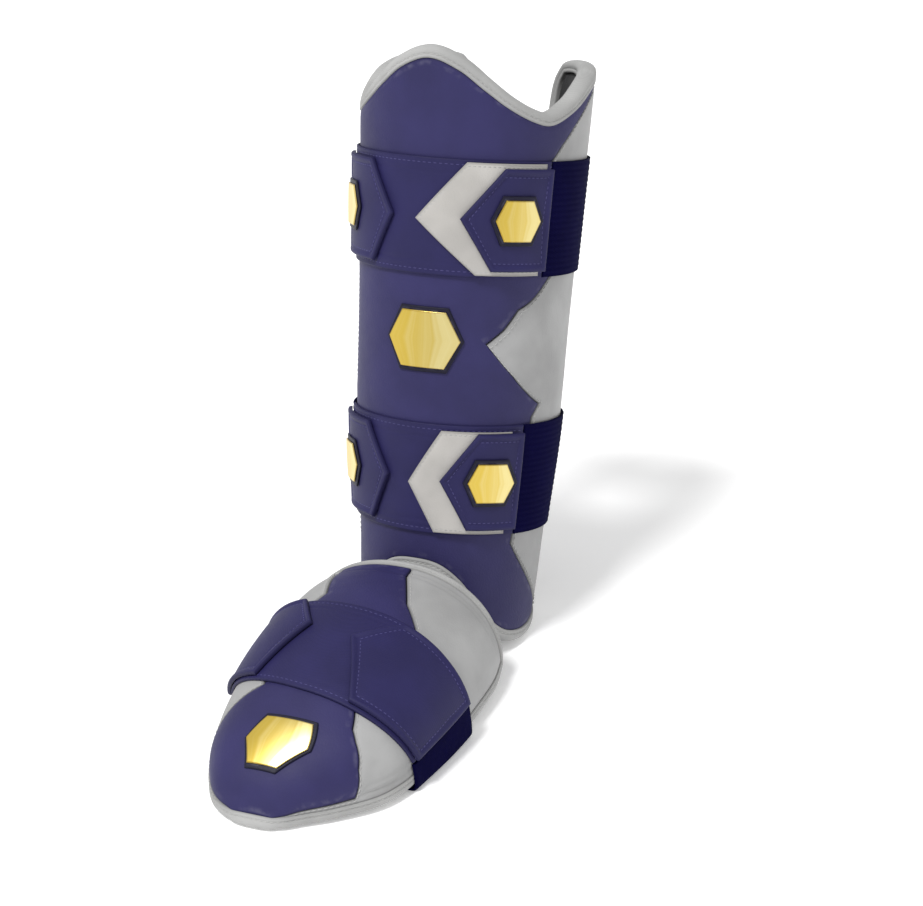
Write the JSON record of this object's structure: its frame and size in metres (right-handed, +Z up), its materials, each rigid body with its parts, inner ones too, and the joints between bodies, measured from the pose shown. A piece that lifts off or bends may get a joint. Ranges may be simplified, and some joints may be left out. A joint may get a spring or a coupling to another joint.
{
  "type": "batter's leg guard",
  "caption": "Padded shin and foot guard with dark panels, grey wings, light binding, elastic straps and plain gold badges.",
  "frame": {"origin": "on the floor, under the middle of the whole guard's bounding box", "axes": "+Z up, the toe points along -Y, +X is the right side of the guard as seen from its front"},
  "size_m": [0.1508, 0.4074, 0.3778],
  "materials": {
    "navy_leather": "satin synthetic leather",
    "navy_strap": "smooth coated webbing",
    "elastic": "ribbed elastic",
    "grey_leather": "satin synthetic leather",
    "binding": "matte woven tape",
    "lining": "matte brushed knit",
    "emblem_outline": "satin",
    "gold_badge": "brushed gold film"
  },
  "bodies": {
    "root": {"foot_center_panel": "navy_leather", "shin_front_panel": "navy_leather", "foot_right_side": "grey_leather", "foot_left_side": "grey_leather", "shin_right_wing": "grey_leather", "shin_left_wing": "grey_leather", "foot_lining": "lining", "shin_lining": "lining", "ankle_hinge": "lining", "foot_binding": "binding", "shin_binding": "binding", "foot_band": "navy_strap", "foot_right_tab": "navy_strap", "foot_left_tab": "navy_strap", "foot_strap": "elastic", "toe_outline": "emblem_outline", "toe_emblem": "gold_badge", "shin_outline": "emblem_outline", "shin_emblem": "gold_badge", "upper_front_band": "navy_strap", "upper_elastic_strap": "elastic", "upper_right_patch": "grey_leather", "upper_right_tab": "navy_strap", "upper_left_tab": "navy_strap", "upper_right_tab_outline": "emblem_outline", "upper_right_tab_emblem": "gold_badge", "upper_left_tab_outline": "emblem_outline", "upper_left_tab_emblem": "gold_badge", "lower_front_band": "navy_strap", "lower_elastic_strap": "elastic", "lower_right_patch": "grey_leather", "lower_right_tab": "navy_strap", "lower_left_tab": "navy_strap", "lower_right_tab_outline": "emblem_outline", "lower_right_tab_emblem": "gold_badge", "lower_left_tab_outline": "emblem_outline", "lower_left_tab_emblem": "gold_badge"}
  },
  "joints": []
}
